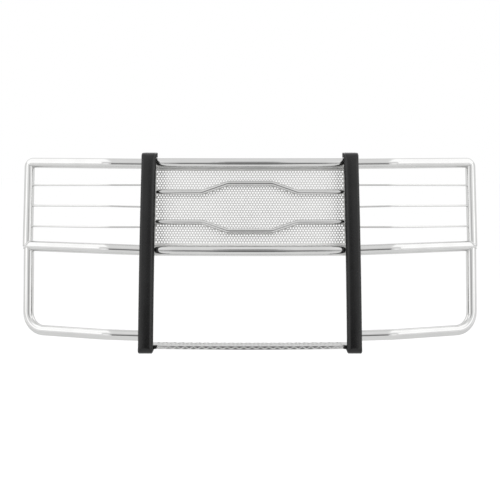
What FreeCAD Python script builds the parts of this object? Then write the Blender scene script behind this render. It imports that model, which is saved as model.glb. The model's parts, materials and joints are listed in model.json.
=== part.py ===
import FreeCAD, Part
import math
import os

# Front grille guard for a pickup truck.  Millimetres, +Z up, front towards -Y, +X to the right when
# the guard is seen from the front.
#
# Heights are given above a level just under the feet of the uprights, and depths behind the front of
# the pads at that level.  write_part() moves every finished solid to the row's origin, which is the
# middle of the four frame bolts in the rear face of the frame brackets.

Vector = FreeCAD.Vector

# Uprights: formed channels, open at the back, that lean back along a large arc.
UPRIGHT_HEIGHT = 827.0
UPRIGHT_OFFSET = 434.5          # from the plane of symmetry to the middle of each upright
UPRIGHT_WIDTH = 48.0
UPRIGHT_REAR = 136.0            # depth of the channel's rear edge behind the pad's front
UPRIGHT_WALL = 4.0
FRONT_ARC_RADIUS = 4300.0
FOOT_LEAN = math.radians(8.3)
RIB_HEIGHTS = (414.5, 779.5)
RIB_THICKNESS = 4.0

# Rubber pads over the front edge of the uprights.
PAD_WALL = 6.0
PAD_DEPTH = 58.0
PAD_TOP_ROUND = 38.0
PAD_FOOT_ROUND = 26.0
PAD_FOOT = -4.0                 # the pad is thicker under the upright's foot than on its sides
PAD_CAP_HEIGHT = 22.0           # the pad's top end reaches the upright's rear edge over this height
PAD_EDGE_ROUND = 5.0
PAD_STUD_HEIGHTS = (150.0, 330.0, 520.0, 700.0)

# Tubes and bars, outside radii.
TUBE_RADIUS = 22.225            # 1 3/4 in tube
TUBE_WALL = 2.0
BENT_BAR_RADIUS = 10.5
BENT_BAR_WALL = 1.6
ROD_RADIUS = 4.0
TUBE_SETBACK = 100.0            # tube centres behind the pad's front at the same height

# Wings.  Heights of tubes and rods are given at the upright, at the bend and at the end post.
WING_TOP_HEIGHTS = (778.5, 780.0, 780.0)
WING_MID_HEIGHTS = (412.5, 418.5, 418.0)
WING_BOTTOM_HEIGHTS = (58.0, 62.5, 62.3)
WING_BEND_OFFSET = 627.0        # the top and mid tubes turn back here
WING_BOTTOM_BEND_OFFSET = 607.0
WING_SWEEP_DEPTH = 143.0        # how far the end posts stand behind the straight part
WING_BEND_RADIUS = 140.0
LOWER_CORNER_RADIUS = 84.0
TOP_CORNER_RADIUS = 17.0        # tighter than the tube, so the inside corner stays sharp
POST_FOOT_OFFSET = 961.0
LOWER_POST_TOP_OFFSET = 969.0
UPPER_POST_FOOT_OFFSET = 974.5
POST_TOP_OFFSET = 983.0
MID_END_OFFSET = 972.0          # the mid tube's dome is centred here, between the two posts
ROD_HEIGHTS = {
    "upper": (687.0, 687.0, 681.0),
    "middle": (594.0, 598.0, 592.0),
    "lower": (509.0, 509.0, 503.0),
}

# Centre section.
CENTRE_BOW = 18.0               # the centre tubes, sheet and step bow forward by this much
CENTRE_TOP_HEIGHT = 781.0
CENTRE_LOWER_HEIGHT = 411.0
BAR_KINK_OFFSET = 205.0         # where the bent bars leave their end height
BAR_PLATEAU_OFFSET = 94.0       # where they reach their middle height
BAR_BEND_RADIUS = 45.0
UPPER_BAR_HEIGHTS = (657.0, 695.0)    # at the ends and in the middle
LOWER_BAR_HEIGHTS = (531.0, 494.0)
SHEET_THICKNESS = 1.6
SHEET_SETBACK = 18.0            # the sheet's front face behind the tube centres
STRIP_HEIGHT = 12.0
STRIP_THICKNESS = 3.0

# Step between the feet of the uprights.
STEP_TOP = 24.0
STEP_LIP_FOOT = 6.5
STEP_FRONT = 76.0
STEP_REAR = 152.0
STEP_THICKNESS = 3.0
STEP_ANGLE_LEG = 32.0
STEP_ANGLE_LENGTH = 56.0
STEP_ANGLE_THICKNESS = 3.0
STEP_STUD_DEPTHS = (94.0, 121.0)

# Frame brackets: a web plate bolted inside each upright, and a foot plate against the truck's frame.
BRACKET_PLATE = 8.0
BRACKET_WEB_FRONT = 80.0
BRACKET_FOOT_HEIGHT = 60.0
BRACKET_TOP_HEIGHT = 340.0
GUSSET_LENGTH = 60.0
GUSSET_INSET = 6.0              # from the foot plate's edges
MOUNT_DEPTH = 262.0
MOUNT_HEIGHT = 200.0
MOUNT_OFFSET = 433.0            # from the plane of symmetry to the frame bolts
MOUNT_PLATE_INNER = 419.0       # the foot plate's edges, across the guard
MOUNT_PLATE_OUTER = 475.0
MOUNT_PLATE_HEIGHT = 190.0
MOUNT_HOLE_RADIUS = 6.75
MOUNT_HOLE_SPACING = 120.0
BRACKET_BOLT_PLACES = ((118.0, 120.0), (128.0, 205.0), (138.0, 290.0))    # depth, height

# Fasteners: thread radius, hexagon width across flats, head height, nut height, washer radius and
# thickness.
M12 = {"thread": 6.0, "flats": 18.0, "head": 7.5, "nut": 10.0, "washer": 12.0, "washer_thickness": 2.5}
M6 = {"thread": 3.0, "flats": 10.0, "head": 4.0, "nut": 5.0, "washer": 6.0, "washer_thickness": 1.6}

X_AXIS = Vector(1, 0, 0)
Y_AXIS = Vector(0, 1, 0)
Z_AXIS = Vector(0, 0, 1)


def lean_at(height):
    """Angle of the uprights' front arc from the vertical at a height."""
    return math.asin(math.sin(FOOT_LEAN) + height / FRONT_ARC_RADIUS)


def front_depth(height):
    """Depth of the pads' front face at a height."""
    return FRONT_ARC_RADIUS * (math.cos(FOOT_LEAN) - math.cos(lean_at(height)))


def tube_depth(height):
    """Depth of the tube centres at a height, next to the uprights."""
    return front_depth(height) + TUBE_SETBACK


def inner_web():
    """X of the uprights' inner face, where the centre section is welded."""
    return UPRIGHT_OFFSET - UPRIGHT_WIDTH / 2


def outer_web():
    """X of the uprights' outer face, where the wings are welded."""
    return UPRIGHT_OFFSET + UPRIGHT_WIDTH / 2


def bow_radius():
    """Plan radius of the bowed centre section."""
    return (inner_web() ** 2 + CENTRE_BOW ** 2) / (2 * CENTRE_BOW)


def bow_at(x):
    """How far the centre section stands forward of its ends at a place across the guard."""
    radius = bow_radius()
    return math.sqrt(radius ** 2 - x ** 2) - math.sqrt(radius ** 2 - inner_web() ** 2)


def mirrored(shape):
    """The same piece on the other side of the plane of symmetry."""
    return shape.mirror(Vector(0, 0, 0), X_AXIS)


def write_part(name, shape):
    """Move a finished piece to the row's origin and write it."""
    placed = shape.copy()
    placed.translate(Vector(0, -MOUNT_DEPTH, -MOUNT_HEIGHT))
    placed.exportStep("parts/" + name + ".step")
    print(name, "solids", len(placed.Solids), "volume", round(placed.Volume), placed.isValid())


def write_pair(name, right_shape):
    """Write the right-hand piece and its mirror image."""
    write_part(name + "_right", right_shape)
    write_part(name + "_left", mirrored(right_shape))


# Paths, round bars and tubes ----------------------------------------------------------------------

def path_through(points, bend_radii):
    """Straight runs through the points, joined by tangent arcs."""
    edges = []
    start = points[0]
    for before, corner, after, radius in zip(points, points[1:], points[2:], bend_radii):
        into = (corner - before).normalize()
        out = (after - corner).normalize()
        turn = into.getAngle(out)
        trim = radius * math.tan(turn / 2)
        inward = (out - into).normalize()
        centre = corner + inward * (radius / math.cos(turn / 2))
        arc_start = corner - into * trim
        arc_end = corner + out * trim
        edges.append(Part.LineSegment(start, arc_start).toShape())
        edges.append(Part.Arc(arc_start, centre - inward * radius, arc_end).toShape())
        start = arc_end
    edges.append(Part.LineSegment(start, points[-1]).toShape())
    return Part.Wire(edges)


def bowed_path(height):
    """A forward-bowed line from one upright to the other."""
    depth = tube_depth(height)
    left = Vector(-inner_web(), depth, height)
    middle = Vector(0, depth - CENTRE_BOW, height)
    right = Vector(inner_web(), depth, height)
    return Part.Wire([Part.Arc(left, middle, right).toShape()])


def round_bar(path, radius):
    """A solid round bar along a path."""
    first = path.Edges[0]
    start = first.valueAt(first.FirstParameter)
    direction = first.tangentAt(first.FirstParameter)
    profile = Part.Wire([Part.Circle(start, direction, radius).toShape()])
    return path.makePipeShell([profile], True, False)


def tube(path, radius, wall):
    """A round tube along a path."""
    return round_bar(path, radius).cut(round_bar(path, radius - wall))


# Uprights and pads --------------------------------------------------------------------------------

def side_face(x, front, rear, foot, top):
    """Outline of an upright seen from the side, between two depths behind the pad's front."""
    middle = (foot + top) / 2

    def corner(offset, height):
        return Vector(x, front_depth(height) + offset, height)

    edges = [
        Part.Arc(corner(front, foot), corner(front, middle), corner(front, top)).toShape(),
        Part.LineSegment(corner(front, top), corner(rear, top)).toShape(),
        Part.Arc(corner(rear, top), corner(rear, middle), corner(rear, foot)).toShape(),
        Part.LineSegment(corner(rear, foot), corner(front, foot)).toShape(),
    ]
    return Part.Face(Part.Wire(edges))


def round_front_ends(block, top_round, foot_round):
    """Round the front top and front foot of an upright-shaped block."""
    across = [edge for edge in block.Edges if abs(edge.tangentAt(edge.FirstParameter).x) > 0.99]
    across.sort(key=lambda edge: edge.CenterOfMass.z)
    foot_edge = min(across[:2], key=lambda edge: edge.CenterOfMass.y)
    top_edge = min(across[2:], key=lambda edge: edge.CenterOfMass.y)
    rounded = block.makeFillet(top_round, [top_edge])
    same_foot = [
        edge for edge in rounded.Edges
        if (edge.CenterOfMass - foot_edge.CenterOfMass).Length < 0.01
    ]
    return rounded.makeFillet(foot_round, same_foot)


def upright_block(width, front, rear, foot, top, top_round, foot_round):
    """A solid block of an upright's shape, with rounded front ends."""
    face = side_face(UPRIGHT_OFFSET - width / 2, front, rear, foot, top)
    return round_front_ends(face.extrude(Vector(width, 0, 0)), top_round, foot_round)


def make_pad():
    """Rubber pad that wraps the front, the sides and both ends of an upright."""
    outside = upright_block(
        UPRIGHT_WIDTH + 2 * PAD_WALL, 0, PAD_DEPTH, PAD_FOOT, UPRIGHT_HEIGHT, PAD_TOP_ROUND, PAD_FOOT_ROUND
    )
    front_edges = [
        edge for edge in outside.Edges
        if abs(edge.tangentAt(edge.FirstParameter).x) < 0.01 and is_on_front(edge)
    ]
    outside = outside.makeFillet(PAD_EDGE_ROUND, front_edges).fuse(make_pad_caps())
    inside = upright_block(
        UPRIGHT_WIDTH, PAD_WALL, UPRIGHT_REAR + 20, PAD_WALL, UPRIGHT_HEIGHT - PAD_WALL,
        PAD_TOP_ROUND - PAD_WALL, PAD_FOOT_ROUND - PAD_WALL
    )
    pad = outside.cut(inside)
    return pad.cut(pad_stud_holes()).removeSplitter()


def make_pad_caps():
    """Rear ends of a pad: over the top of the upright and under its foot, back to its rear edge."""
    width = UPRIGHT_WIDTH + 2 * PAD_WALL
    start_x = UPRIGHT_OFFSET - width / 2
    ends = ((UPRIGHT_HEIGHT - PAD_CAP_HEIGHT, UPRIGHT_HEIGHT), (PAD_FOOT, PAD_WALL))
    faces = [side_face(start_x, PAD_DEPTH, UPRIGHT_REAR, foot, top) for foot, top in ends]
    return [face.extrude(Vector(width, 0, 0)) for face in faces]


def is_on_front(edge):
    """Whether an edge of the pad's block lies on its front or on its rounded ends."""
    middle = edge.valueAt((edge.FirstParameter + edge.LastParameter) / 2)
    if abs(middle.y - front_depth(middle.z)) < 1.0:
        return True
    near_foot = middle.z < PAD_FOOT + PAD_FOOT_ROUND and middle.z > PAD_FOOT + 0.5
    near_top = middle.z > UPRIGHT_HEIGHT - PAD_TOP_ROUND and middle.z < UPRIGHT_HEIGHT - 0.5
    return (near_foot or near_top) and middle.y < front_depth(middle.z) + PAD_TOP_ROUND


def make_upright():
    """Formed steel channel, closed at the front and both ends and open at the back."""
    outside = upright_block(
        UPRIGHT_WIDTH, PAD_WALL, UPRIGHT_REAR, PAD_WALL, UPRIGHT_HEIGHT - PAD_WALL,
        PAD_TOP_ROUND - PAD_WALL, PAD_FOOT_ROUND - PAD_WALL
    )
    gap = PAD_WALL + UPRIGHT_WALL
    inside = upright_block(
        UPRIGHT_WIDTH - 2 * UPRIGHT_WALL, gap, UPRIGHT_REAR + 20, gap, UPRIGHT_HEIGHT - gap,
        PAD_TOP_ROUND - gap, PAD_FOOT_ROUND - gap
    )
    channel = outside.cut(inside)
    for depth, height in BRACKET_BOLT_PLACES:
        start = Vector(UPRIGHT_OFFSET, depth, height)
        channel = channel.cut(Part.makeCylinder(M12["thread"] + 0.5, UPRIGHT_WIDTH, start, X_AXIS))
    return channel.cut(pad_stud_holes())


def make_ribs():
    """Plates across the inside of an upright, level with the wing tubes."""
    ribs = []
    width = UPRIGHT_WIDTH - 2 * UPRIGHT_WALL
    for height in RIB_HEIGHTS:
        foot = height - RIB_THICKNESS / 2
        face = side_face(
            UPRIGHT_OFFSET - width / 2, PAD_WALL + UPRIGHT_WALL, UPRIGHT_REAR - 12, foot, foot + RIB_THICKNESS
        )
        ribs.append(face.extrude(Vector(width, 0, 0)))
    return Part.Compound(ribs)


def on_front_wall(shape, height):
    """Move a piece made along +Y at the origin onto the upright's front wall at a height."""
    turned = shape.copy()
    turned.rotate(Vector(0, 0, 0), X_AXIS, -math.degrees(lean_at(height)))
    turned.translate(Vector(UPRIGHT_OFFSET, front_depth(height), height))
    return turned


def pad_stud_holes():
    """Holes for the pad studs in the front wall, starting behind the pad's front face."""
    hole = Part.makeCylinder(M6["thread"] + 0.25, 30, Vector(0, PAD_WALL / 2, 0), Y_AXIS)
    return Part.Compound([on_front_wall(hole, height) for height in PAD_STUD_HEIGHTS])


# Fasteners ----------------------------------------------------------------------------------------

def hexagon(flats, thickness, start, direction):
    """A hexagonal prism with chamfered corners, from a point along a direction."""
    corner_radius = flats / math.sqrt(3)
    turns = [math.radians(60 * i) for i in range(7)]
    corners = [Vector(corner_radius * math.cos(turn), corner_radius * math.sin(turn), 0) for turn in turns]
    prism = Part.Face(Part.makePolygon(corners)).extrude(Vector(0, 0, thickness))
    chamfer = corner_radius - flats / 2
    drum = Part.makeCone(corner_radius, corner_radius - chamfer, chamfer, Vector(0, 0, thickness - chamfer))
    body = Part.makeCylinder(corner_radius, thickness - chamfer).fuse(drum)
    prism = prism.common(body)
    prism.Placement = FreeCAD.Placement(start, FreeCAD.Rotation(Z_AXIS, direction))
    return prism


def hex_bolt(size, grip, start, direction):
    """A hexagon bolt whose head's underside is at a point and whose shank runs along a direction."""
    head = hexagon(size["flats"], size["head"], start, direction * -1)
    shank = Part.makeCylinder(size["thread"], grip, start, direction)
    return head.fuse(shank)


def nut(size, start, direction):
    """A hexagon nut from a point along a direction."""
    bore = Part.makeCylinder(size["thread"] + 0.1, size["nut"], start, direction)
    return hexagon(size["flats"], size["nut"], start, direction).cut(bore)


def washer(size, start, direction):
    """A flat washer from a point along a direction."""
    thickness = size["washer_thickness"]
    disc = Part.makeCylinder(size["washer"], thickness, start, direction)
    return disc.cut(Part.makeCylinder(size["thread"] + 0.4, thickness, start, direction))


def both_sides(shapes):
    """A group of separate solids on the right, with their mirror images on the left."""
    return Part.Compound(shapes + [mirrored(shape) for shape in shapes])


def write_pad_fasteners():
    """Studs moulded into the pads, with a washer and a nut inside the upright."""
    wall_back = PAD_WALL + UPRIGHT_WALL
    washer_back = wall_back + M6["washer_thickness"]
    studs = []
    washers = []
    nuts = []
    for height in PAD_STUD_HEIGHTS:
        stud = Part.makeCylinder(M6["thread"], washer_back + M6["nut"], Vector(0, PAD_WALL / 2, 0), Y_AXIS)
        studs.append(on_front_wall(stud, height))
        washers.append(on_front_wall(washer(M6, Vector(0, wall_back, 0), Y_AXIS), height))
        nuts.append(on_front_wall(nut(M6, Vector(0, washer_back, 0), Y_AXIS), height))
    write_part("pad_studs", both_sides(studs))
    write_part("pad_washers", both_sides(washers))
    write_part("pad_nuts", both_sides(nuts))


# Wings --------------------------------------------------------------------------------------------

def wing_points(heights, bend_offset, end_offset):
    """Centre line of a wing tube: straight out from the upright, then swept back to the end post."""
    upright_height, bend_height, post_height = heights
    return [
        Vector(outer_web(), tube_depth(upright_height), upright_height),
        Vector(bend_offset, tube_depth(bend_height), bend_height),
        Vector(end_offset, tube_depth(post_height) + WING_SWEEP_DEPTH, post_height),
    ]


def wing_mid_points():
    """Centre line of the mid tube, up to the middle of its domed end."""
    return wing_points(WING_MID_HEIGHTS, WING_BEND_OFFSET, MID_END_OFFSET)


def wing_mid_outline():
    """The full round outline of the mid tube with its domed end."""
    points = wing_mid_points()
    return round_bar(path_through(points, [WING_BEND_RADIUS]), TUBE_RADIUS).fuse(
        Part.makeSphere(TUBE_RADIUS, points[2])
    )


def post_joint(offset):
    """Centre of an end post, level with the domed end of the mid tube."""
    dome = wing_mid_points()[2]
    return Vector(offset, dome.y, dome.z)


def top_corner_frame():
    """Corner point, the two directions there, the length each loses and the arc's centre."""
    points = wing_points(WING_TOP_HEIGHTS, WING_BEND_OFFSET, POST_TOP_OFFSET)
    corner = points[2]
    along = (points[2] - points[1]).normalize()
    post_foot = post_joint(UPPER_POST_FOOT_OFFSET)
    down = (post_foot - corner).normalize()
    turn = along.getAngle(down)
    trim = TOP_CORNER_RADIUS * math.tan(turn / 2)
    inward = (down - along).normalize()
    centre = corner + inward * (TOP_CORNER_RADIUS / math.cos(turn / 2))
    return corner, along, down, post_foot, turn, trim, centre


def make_wing_top_outline(radius):
    """A round bar along the whole of the top tube's centre line."""
    corner, along, down, post_foot, turn, trim, centre = top_corner_frame()
    points = wing_points(WING_TOP_HEIGHTS, WING_BEND_OFFSET, POST_TOP_OFFSET)
    points[2] = corner - along * trim
    return round_bar(path_through(points, [WING_BEND_RADIUS]), radius)


def make_wing_top_tube():
    return make_wing_top_outline(TUBE_RADIUS).cut(make_wing_top_outline(TUBE_RADIUS - TUBE_WALL))


def make_wing_mid_tube():
    return tube(path_through(wing_mid_points(), [WING_BEND_RADIUS]), TUBE_RADIUS, TUBE_WALL)


def make_wing_mid_cap():
    """Half a hollow ball that closes the end of the mid tube."""
    points = wing_mid_points()
    direction = (points[2] - points[1]).normalize()
    ball = Part.makeSphere(TUBE_RADIUS, points[2]).cut(Part.makeSphere(TUBE_RADIUS - TUBE_WALL, points[2]))
    return ball.common(Part.makeCylinder(2 * TUBE_RADIUS, 2 * TUBE_RADIUS, points[2], direction))


def make_wing_lower_loop():
    """Bottom tube that turns up into the lower end post and stops under the mid tube."""
    points = wing_points(WING_BOTTOM_HEIGHTS, WING_BOTTOM_BEND_OFFSET, POST_FOOT_OFFSET)
    points.append(post_joint(LOWER_POST_TOP_OFFSET))
    path = path_through(points, [WING_BEND_RADIUS, LOWER_CORNER_RADIUS])
    return tube(path, TUBE_RADIUS, TUBE_WALL).cut(wing_mid_outline())


def make_wing_end_post():
    """Upper end post, from the top of the mid tube to the corner piece."""
    corner, along, down, post_foot, turn, trim, centre = top_corner_frame()
    path = Part.Wire([Part.LineSegment(post_foot, corner + down * trim).toShape()])
    post = tube(path, TUBE_RADIUS, TUBE_WALL).cut(wing_mid_outline())
    return post.cut(make_wing_top_outline(TUBE_RADIUS))


def make_wing_corner():
    """Tight corner piece: a ring sector, cut off at the axis it turns about."""
    corner, along, down, post_foot, turn, trim, centre = top_corner_frame()
    axis = along.cross(down).normalize()
    start = corner - along * trim
    inward = (centre - start).normalize()
    ring = Part.Face(Part.Wire([Part.Circle(start, along, TUBE_RADIUS).toShape()]))
    ring = ring.cut(Part.Face(Part.Wire([Part.Circle(start, along, TUBE_RADIUS - TUBE_WALL).toShape()])))
    reach = 2 * TUBE_RADIUS
    near = start + inward * (TOP_CORNER_RADIUS - 0.3)
    far = start - inward * reach
    window = Part.Face(Part.makePolygon([
        near - axis * reach, near + axis * reach, far + axis * reach, far - axis * reach, near - axis * reach
    ]))
    return ring.common(window).revolve(centre, axis, math.degrees(turn))


def make_wing_rod(heights):
    """Thin rod from the upright to the end post, with the wing's bend."""
    inner_height, bend_height, outer_height = heights
    corner, along, down, post_foot, turn, trim, centre = top_corner_frame()
    rise = (outer_height - post_foot.z) / (corner.z - post_foot.z)
    post_centre = post_foot + (corner - post_foot) * rise
    points = [
        Vector(outer_web(), tube_depth(inner_height), inner_height),
        Vector(WING_BEND_OFFSET, tube_depth(bend_height), bend_height),
        post_centre,
    ]
    rod = round_bar(path_through(points, [WING_BEND_RADIUS]), ROD_RADIUS)
    post_path = Part.Wire([Part.LineSegment(post_foot, corner).toShape()])
    return rod.cut(round_bar(post_path, TUBE_RADIUS))


# Centre section -----------------------------------------------------------------------------------

def make_bent_bar(heights):
    """Crown-shaped bar: level at both ends, with a raised or lowered middle."""
    end_height, middle_height = heights
    places = [
        (-inner_web(), end_height), (-BAR_KINK_OFFSET, end_height), (-BAR_PLATEAU_OFFSET, middle_height),
        (BAR_PLATEAU_OFFSET, middle_height), (BAR_KINK_OFFSET, end_height), (inner_web(), end_height),
    ]
    points = [Vector(x, tube_depth(height) - bow_at(x), height) for x, height in places]
    return tube(path_through(points, [BAR_BEND_RADIUS] * 4), BENT_BAR_RADIUS, BENT_BAR_WALL)


def bowed_band(setback, thickness, foot, top):
    """A thin bowed band across the guard, following the straight line between the centre tubes."""
    slope = tube_depth(CENTRE_TOP_HEIGHT) - tube_depth(CENTRE_LOWER_HEIGHT)
    slope /= CENTRE_TOP_HEIGHT - CENTRE_LOWER_HEIGHT
    depth = tube_depth(CENTRE_LOWER_HEIGHT) + slope * (foot - CENTRE_LOWER_HEIGHT) + setback
    half = inner_web()
    front = Part.Arc(
        Vector(-half, depth, foot), Vector(0, depth - CENTRE_BOW, foot), Vector(half, depth, foot)
    )
    back = Part.Arc(
        Vector(half, depth + thickness, foot), Vector(0, depth + thickness - CENTRE_BOW, foot),
        Vector(-half, depth + thickness, foot)
    )
    sides = [
        Part.LineSegment(Vector(half, depth, foot), Vector(half, depth + thickness, foot)),
        Part.LineSegment(Vector(-half, depth + thickness, foot), Vector(-half, depth, foot)),
    ]
    outline = Part.Wire([front.toShape(), sides[0].toShape(), back.toShape(), sides[1].toShape()])
    return Part.Face(outline).extrude(Vector(0, slope * (top - foot), top - foot))


def centre_tube_outline(height):
    """The full round outline of a centre tube."""
    return round_bar(bowed_path(height), TUBE_RADIUS)


def clear_of_tubes(band):
    """Cut a band back where the centre tubes pass."""
    return band.cut(centre_tube_outline(CENTRE_TOP_HEIGHT)).cut(centre_tube_outline(CENTRE_LOWER_HEIGHT))


def make_grille_panel():
    """The sheet behind the bars; its pattern of small round holes belongs to the visual model."""
    sheet = bowed_band(SHEET_SETBACK, SHEET_THICKNESS, CENTRE_LOWER_HEIGHT - 6, CENTRE_TOP_HEIGHT + 6)
    pieces = clear_of_tubes(sheet).Solids
    return max(pieces, key=lambda piece: piece.Volume)


def make_panel_strip(foot):
    """Flat strip that stiffens an edge of the sheet next to a centre tube."""
    strip = bowed_band(SHEET_SETBACK - STRIP_THICKNESS, STRIP_THICKNESS, foot, foot + STRIP_HEIGHT)
    pieces = clear_of_tubes(strip).Solids
    return max(pieces, key=lambda piece: piece.Volume)


# Step ---------------------------------------------------------------------------------------------

def step_band(front, rear, foot, top):
    """Part of the step between two depths, bowed forward in plan."""
    half = inner_web()
    front_edge = Part.Arc(
        Vector(-half, front, foot), Vector(0, front - CENTRE_BOW, foot), Vector(half, front, foot)
    )
    rear_edge = Part.Arc(
        Vector(half, rear, foot), Vector(0, rear - CENTRE_BOW, foot), Vector(-half, rear, foot)
    )
    right = Part.LineSegment(Vector(half, front, foot), Vector(half, rear, foot))
    left = Part.LineSegment(Vector(-half, rear, foot), Vector(-half, front, foot))
    outline = Part.Wire([front_edge.toShape(), right.toShape(), rear_edge.toShape(), left.toShape()])
    return Part.Face(outline).extrude(Vector(0, 0, top - foot))


def make_step_plate():
    """Tread-plate shelf with a lip along its front and its rear."""
    shelf = step_band(STEP_FRONT, STEP_REAR, STEP_TOP - STEP_THICKNESS, STEP_TOP)
    front_lip = step_band(STEP_FRONT, STEP_FRONT + STEP_THICKNESS, STEP_LIP_FOOT, STEP_TOP)
    rear_lip = step_band(STEP_REAR - STEP_THICKNESS, STEP_REAR, STEP_LIP_FOOT, STEP_TOP)
    step = shelf.fuse([front_lip, rear_lip]).removeSplitter()
    front_edges = [
        edge for edge in step.Edges
        if abs(edge.CenterOfMass.z - STEP_TOP) < 0.01 and edge.Length > inner_web()
    ]
    return step.makeFillet(2.0, front_edges)


def make_step_angle():
    """Angle bracket welded to the upright's inner face, under the end of the step."""
    top = STEP_TOP - STEP_THICKNESS
    front = STEP_FRONT + STEP_THICKNESS
    start = Vector(inner_web() - STEP_ANGLE_LEG, front, top - STEP_ANGLE_THICKNESS)
    shelf = Part.makeBox(STEP_ANGLE_LEG, STEP_ANGLE_LENGTH, STEP_ANGLE_THICKNESS, start)
    leg_height = top - PAD_FOOT_ROUND / 4
    leg_start = Vector(inner_web() - STEP_ANGLE_THICKNESS, front, top - leg_height)
    angle = shelf.fuse(Part.makeBox(STEP_ANGLE_THICKNESS, STEP_ANGLE_LENGTH, leg_height, leg_start))
    for place in step_stud_places(top):
        angle = angle.cut(Part.makeCylinder(M6["thread"] + 0.5, STEP_THICKNESS + 20, place, Z_AXIS * -1))
    return angle.removeSplitter()


def step_stud_places(height):
    """Where the step's studs start, at the underside of the shelf."""
    x = inner_web() - STEP_ANGLE_LEG / 2 - STEP_ANGLE_THICKNESS
    return [Vector(x, depth, height) for depth in STEP_STUD_DEPTHS]


def write_step_fasteners():
    """Studs welded under the step, with washers and nuts under the angle brackets."""
    top = STEP_TOP - STEP_THICKNESS
    under_angle = top - STEP_ANGLE_THICKNESS
    down = Z_AXIS * -1
    stud_length = top - STEP_LIP_FOOT
    studs = [Part.makeCylinder(M6["thread"], stud_length, place, down) for place in step_stud_places(top)]
    washers = [washer(M6, place, down) for place in step_stud_places(under_angle)]
    nuts = [nut(M6, place, down) for place in step_stud_places(under_angle - M6["washer_thickness"])]
    write_part("step_studs", both_sides(studs))
    write_part("step_washers", both_sides(washers))
    write_part("step_nuts", both_sides(nuts))


# Frame brackets -----------------------------------------------------------------------------------

def bracket_web_face_x():
    """X of the bracket web's outer face, against the inside of the upright's outer wall."""
    return outer_web() - UPRIGHT_WALL


def make_frame_bracket():
    """Web plate inside the upright, foot plate against the frame, and two gussets between them."""
    plate_x = bracket_web_face_x() - BRACKET_PLATE
    foot_front = MOUNT_DEPTH - BRACKET_PLATE
    outline = Part.makePolygon([
        Vector(plate_x, BRACKET_WEB_FRONT, BRACKET_FOOT_HEIGHT + 20),
        Vector(plate_x, BRACKET_WEB_FRONT + 22, BRACKET_TOP_HEIGHT),
        Vector(plate_x, UPRIGHT_REAR + 30, BRACKET_TOP_HEIGHT),
        Vector(plate_x, foot_front, MOUNT_HEIGHT + MOUNT_PLATE_HEIGHT / 2),
        Vector(plate_x, foot_front, MOUNT_HEIGHT - MOUNT_PLATE_HEIGHT / 2),
        Vector(plate_x, UPRIGHT_REAR + 20, BRACKET_FOOT_HEIGHT),
        Vector(plate_x, BRACKET_WEB_FRONT + 10, BRACKET_FOOT_HEIGHT),
        Vector(plate_x, BRACKET_WEB_FRONT, BRACKET_FOOT_HEIGHT + 20),
    ])
    web = Part.Face(outline).extrude(Vector(BRACKET_PLATE, 0, 0))
    foot = Part.makeBox(
        MOUNT_PLATE_OUTER - MOUNT_PLATE_INNER, BRACKET_PLATE, MOUNT_PLATE_HEIGHT,
        Vector(MOUNT_PLATE_INNER, foot_front, MOUNT_HEIGHT - MOUNT_PLATE_HEIGHT / 2)
    )
    inner_gusset = make_bracket_gusset(plate_x, MOUNT_PLATE_INNER + GUSSET_INSET, foot_front)
    outer_gusset = make_bracket_gusset(plate_x + BRACKET_PLATE, MOUNT_PLATE_OUTER - GUSSET_INSET, foot_front)
    bracket = web.fuse([foot, inner_gusset, outer_gusset]).removeSplitter()
    for depth, height in BRACKET_BOLT_PLACES:
        start = Vector(plate_x - 5, depth, height)
        bracket = bracket.cut(Part.makeCylinder(M12["thread"] + 0.5, BRACKET_PLATE + 10, start, X_AXIS))
    for side in (-1, 1):
        start = Vector(MOUNT_OFFSET, foot_front - 5, MOUNT_HEIGHT + side * MOUNT_HOLE_SPACING / 2)
        bracket = bracket.cut(Part.makeCylinder(MOUNT_HOLE_RADIUS, BRACKET_PLATE + 10, start, Y_AXIS))
    return bracket


def make_bracket_gusset(web_face_x, tip_x, foot_front):
    """Triangular plate that braces the foot plate against one side of the web."""
    root = Vector(web_face_x, foot_front, MOUNT_HEIGHT)
    tip = Vector(tip_x, foot_front, MOUNT_HEIGHT)
    corners = [root, tip, Vector(web_face_x, foot_front - GUSSET_LENGTH, MOUNT_HEIGHT), root]
    gusset = Part.Face(Part.makePolygon(corners)).extrude(Vector(0, 0, BRACKET_PLATE))
    gusset.translate(Vector(0, 0, -BRACKET_PLATE / 2))
    return gusset


def write_bracket_fasteners():
    """Bolts through the upright's outer wall and the bracket's web, heads outside and nuts inside."""
    bolts = []
    washers = []
    nuts = []
    inward = X_AXIS * -1
    for depth, height in BRACKET_BOLT_PLACES:
        wall = Vector(outer_web(), depth, height)
        plate_back = Vector(bracket_web_face_x() - BRACKET_PLATE, depth, height)
        thickness = M12["washer_thickness"]
        grip = UPRIGHT_WALL + BRACKET_PLATE + 2 * thickness + M12["nut"] + 3
        bolts.append(hex_bolt(M12, grip, wall + X_AXIS * thickness, inward))
        washers.append(washer(M12, wall, X_AXIS))
        washers.append(washer(M12, plate_back, inward))
        nuts.append(nut(M12, plate_back + inward * thickness, inward))
    write_part("bracket_bolts", both_sides(bolts))
    write_part("bracket_washers", both_sides(washers))
    write_part("bracket_nuts", both_sides(nuts))


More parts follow.
